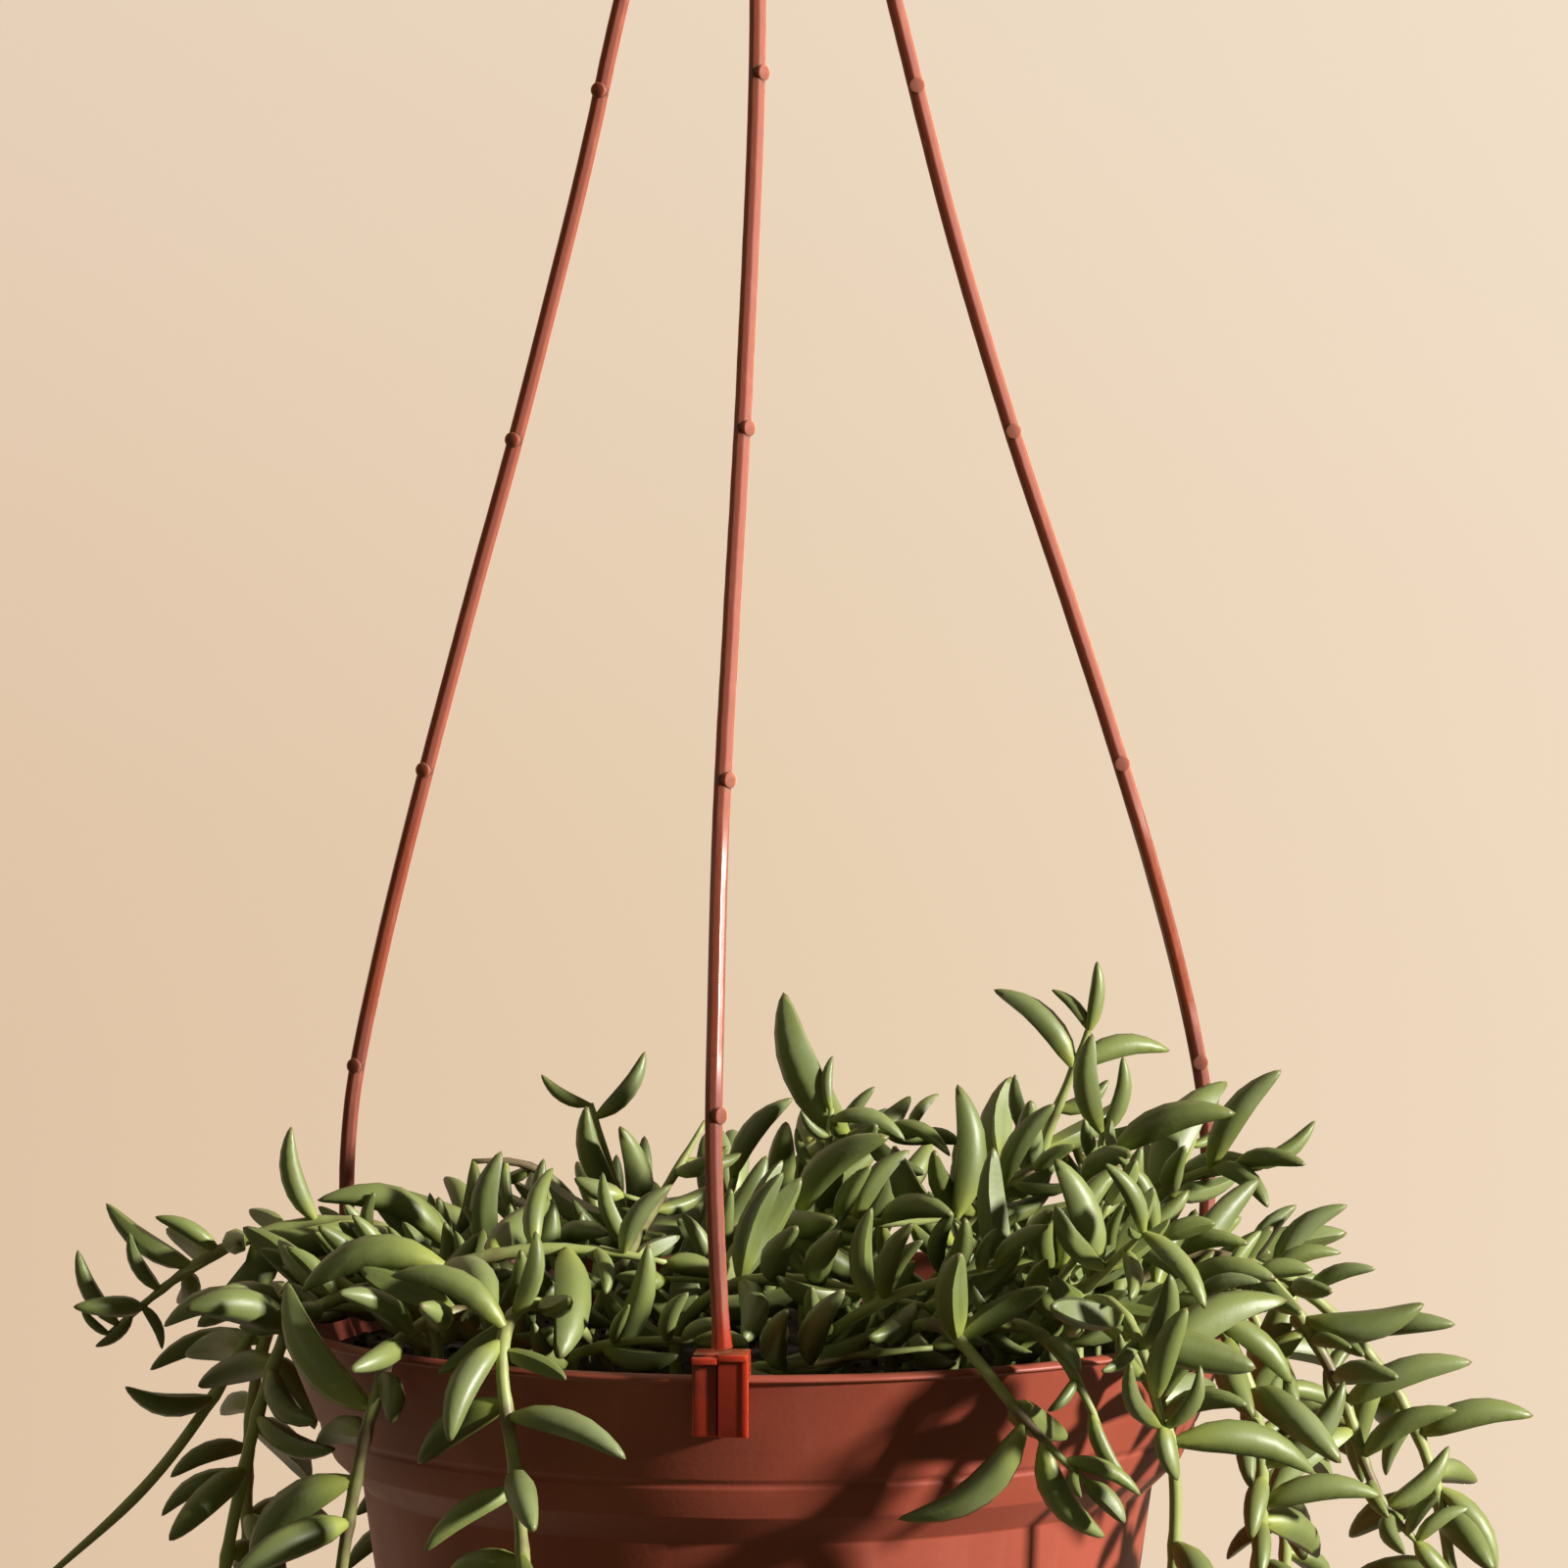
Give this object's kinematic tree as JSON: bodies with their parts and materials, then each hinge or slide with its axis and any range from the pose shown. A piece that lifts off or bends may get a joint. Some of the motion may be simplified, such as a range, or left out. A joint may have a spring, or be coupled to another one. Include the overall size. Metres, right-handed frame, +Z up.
{
  "type": "potted string of bananas in a hanging pot",
  "caption": "Trailing succulent with banana-shaped leaves in a round plastic nursery pot, hung by a moulded three-legged hanger with a hook.",
  "frame": {"origin": "the seat of the hook: the top of the space inside it, where it lies on its rail", "axes": "+Z up; the hook's flat ring lies in the XZ plane; -Y faces the camera of the picture, +X is to its right"},
  "size_m": [0.2748, 0.2128, 0.4744],
  "materials": {
    "pot": "satin",
    "hanger": "satin",
    "soil": "matte",
    "leaf": "satin"
  },
  "bodies": {
    "root": {"hanger": "hanger", "pot": "pot", "soil": "soil", "stem_back_far_left": "leaf", "stem_back_far_right": "leaf", "stem_back_left": "leaf", "stem_back_mid_left": "leaf", "stem_back_mid_right": "leaf", "stem_back_middle": "leaf", "stem_back_right": "leaf", "stem_back_rise": "leaf", "stem_centre": "leaf", "stem_centre_back": "leaf", "stem_centre_front": "leaf", "stem_centre_right": "leaf", "stem_front": "leaf", "stem_front_bunch": "leaf", "stem_front_mat": "leaf", "stem_front_right": "leaf", "stem_front_rise": "leaf", "stem_left_arch": "leaf", "stem_left_front": "leaf", "stem_left_long": "leaf", "stem_left_mat": "leaf", "stem_left_mid": "leaf", "stem_left_sprig": "leaf", "stem_left_upright": "leaf", "stem_low": "leaf", "stem_mat_back": "leaf", "stem_mat_back_left": "leaf", "stem_mat_back_right": "leaf", "stem_right_drape": "leaf", "stem_right_front": "leaf", "stem_right_long": "leaf", "stem_right_mat": "leaf", "stem_top": "leaf", "stem_top_front": "leaf"}
  },
  "joints": []
}
